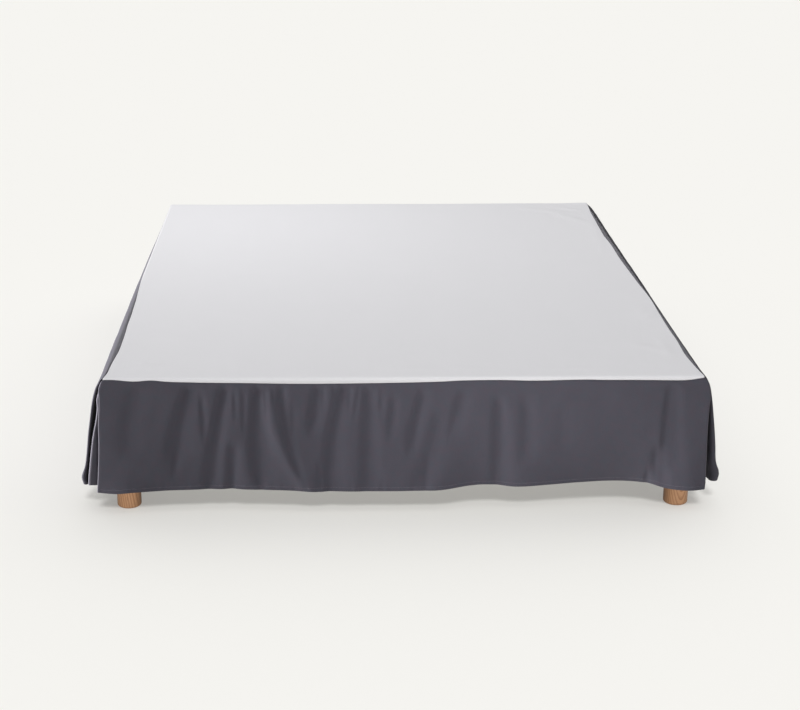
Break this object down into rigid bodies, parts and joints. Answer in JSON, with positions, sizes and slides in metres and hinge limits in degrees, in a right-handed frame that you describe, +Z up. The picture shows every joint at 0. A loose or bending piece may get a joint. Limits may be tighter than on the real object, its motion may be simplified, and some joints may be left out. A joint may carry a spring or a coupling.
{
  "type": "bed skirt on a bed base",
  "caption": "Bed skirt with a flat platform sheet, lightly gathered drops down its sides and foot and open pleated corners, fitted over a plain bed base on wooden feet.",
  "frame": {"origin": "on the floor under the middle of the base", "axes": "+Z up, -Y towards the foot end of the bed, +Y towards its open head end, +X to the right side seen from the foot"},
  "size_m": [1.7422, 2.009, 0.385],
  "materials": {
    "platform_cotton": "matt white cotton",
    "skirt_cotton": "matt dark grey cotton with a violet cast",
    "base_upholstery": "matt off-white upholstery cloth",
    "oak": "satin oiled oak"
  },
  "bodies": {
    "root": {"platform": "platform_cotton", "skirt_foot": "skirt_cotton", "skirt_left": "skirt_cotton", "skirt_right": "skirt_cotton", "pleat_left": "skirt_cotton", "pleat_right": "skirt_cotton", "base": "base_upholstery", "foot_front_left": "oak", "foot_front_right": "oak", "foot_back_left": "oak", "foot_back_right": "oak"}
  },
  "joints": []
}
